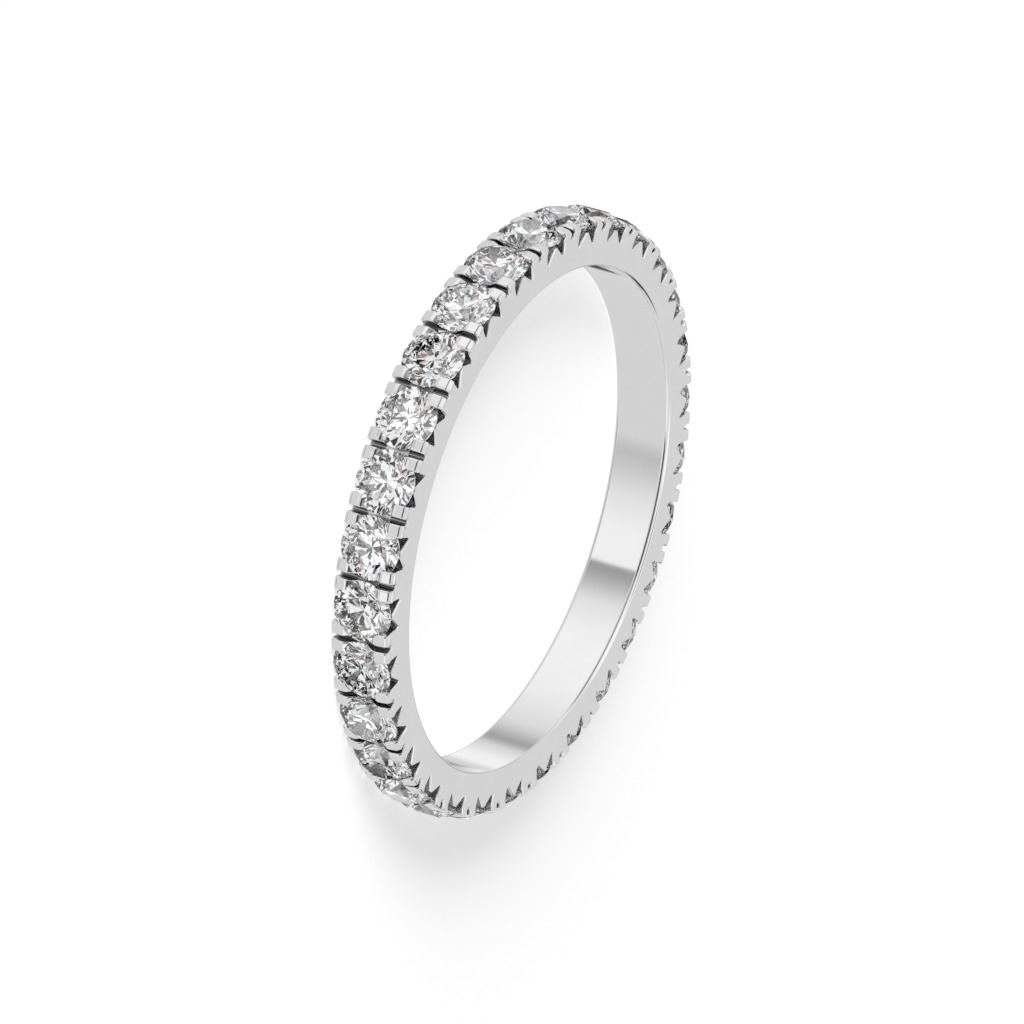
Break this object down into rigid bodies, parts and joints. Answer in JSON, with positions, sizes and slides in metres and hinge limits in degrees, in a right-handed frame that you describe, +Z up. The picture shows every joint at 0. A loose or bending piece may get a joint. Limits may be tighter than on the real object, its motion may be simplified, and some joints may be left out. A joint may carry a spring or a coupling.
{
  "type": "eternity ring",
  "caption": "Full eternity ring: a slim polished white metal band, open at the bore, set all the way round with round brilliant stones held by small shared block prongs.",
  "frame": {"origin": "on the axis of the bore, in the plane that the ring lies on, which the prongs of its lower side touch", "axes": "+Z up along the axis of the bore, as the ring lies on its side, and +X through the middle of stone_01"},
  "size_m": [0.0202, 0.0204, 0.0021],
  "materials": {
    "white_metal": "mirror-polished white precious metal, such as rhodium-plated white gold",
    "clear_stone": "flat polished facets of a colourless cut stone"
  },
  "bodies": {
    "root": {"band": "white_metal", "stone_01": "clear_stone", "stone_02": "clear_stone", "stone_03": "clear_stone", "stone_04": "clear_stone", "stone_05": "clear_stone", "stone_06": "clear_stone", "stone_07": "clear_stone", "stone_08": "clear_stone", "stone_09": "clear_stone", "stone_10": "clear_stone", "stone_11": "clear_stone", "stone_12": "clear_stone", "stone_13": "clear_stone", "stone_14": "clear_stone", "stone_15": "clear_stone", "stone_16": "clear_stone", "stone_17": "clear_stone", "stone_18": "clear_stone", "stone_19": "clear_stone", "stone_20": "clear_stone", "stone_21": "clear_stone", "stone_22": "clear_stone", "stone_23": "clear_stone", "stone_24": "clear_stone", "stone_25": "clear_stone", "stone_26": "clear_stone", "stone_27": "clear_stone", "stone_28": "clear_stone", "stone_29": "clear_stone"}
  },
  "joints": []
}
